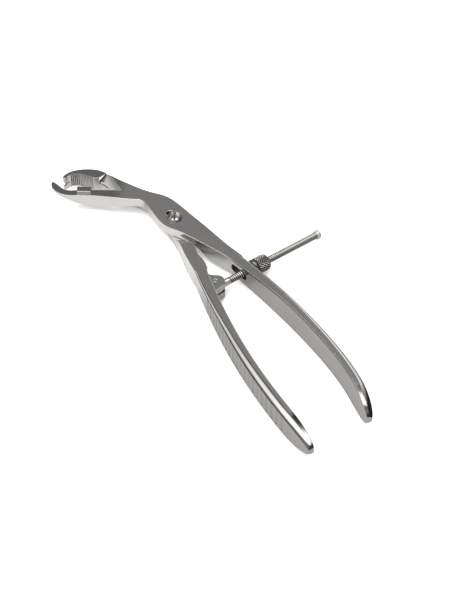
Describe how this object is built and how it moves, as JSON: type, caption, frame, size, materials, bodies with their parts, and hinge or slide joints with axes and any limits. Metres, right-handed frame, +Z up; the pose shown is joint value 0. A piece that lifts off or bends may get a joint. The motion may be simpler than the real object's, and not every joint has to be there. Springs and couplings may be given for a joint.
{
  "type": "bone holding forceps",
  "caption": "Self-centring bone holding forceps: angled hook and serrated crescent jaws, slotted lap pivot, grooved handles and a threaded locking rod with a knurled nut.",
  "frame": {"origin": "on the pivot axis, at the underside of the lock, with the forceps lying flat", "axes": "+X from the pivot towards the handles, +Y towards the handle the locking rod passes through, +Z up along the pivot axis"},
  "size_m": [0.264, 0.1237, 0.015],
  "materials": {
    "hooked_half": "satin stainless steel",
    "broad_half": "satin stainless steel",
    "pivot_screw": "satin stainless steel",
    "rod_hinge_pin": "satin stainless steel",
    "threaded_rod": "turned stainless steel",
    "rod_end_button": "turned stainless steel",
    "nut_seat_washer": "smooth darkened steel",
    "knurled_nut": "knurled stainless steel"
  },
  "bodies": {
    "hooked_body": {"hooked_half": "hooked_half"},
    "screw_body": {"pivot_screw": "pivot_screw"},
    "broad_body": {"broad_half": "broad_half", "rod_hinge_pin": "rod_hinge_pin"},
    "rod_body": {"threaded_rod": "threaded_rod", "rod_end_button": "rod_end_button"},
    "seat_body": {"nut_seat_washer": "nut_seat_washer"},
    "nut_body": {"knurled_nut": "knurled_nut"}
  },
  "joints": [
    {"name": "pivot_slip", "type": "slide", "parent": "hooked_body", "child": "screw_body", "axis": [-0.9945, -0.1045, 0], "range_m": [0, 0.005]},
    {"name": "jaw_hinge", "type": "hinge", "parent": "screw_body", "child": "broad_body", "pos_m": [0, 0, 0.0053], "axis": [0, 0, -1], "range_deg": [-2.5, 25]},
    {"name": "rod_swing", "type": "hinge", "parent": "broad_body", "child": "rod_body", "pos_m": [0.062, -0.005, 0.0053], "axis": [0, 0, 1], "range_deg": [-1.01, 10.01]},
    {"name": "nut_travel", "type": "slide", "parent": "rod_body", "child": "seat_body", "axis": [-0.1805, 0.9836, 0], "range_m": [-0.00261, 0.02601]},
    {"name": "nut_spin", "type": "hinge", "parent": "seat_body", "child": "nut_body", "pos_m": [0.0567, 0.0238, 0.0053], "axis": [-0.1805, 0.9836, 0], "range_deg": [-940, 9370]}
  ],
  "couplings": [
    {"joint": "rod_swing", "follows": "jaw_hinge", "ratio": 0.4},
    {"joint": "nut_travel", "follows": "jaw_hinge", "m_per_rad": 0.059588},
    {"joint": "nut_spin", "follows": "jaw_hinge", "ratio": 374.4}
  ]
}
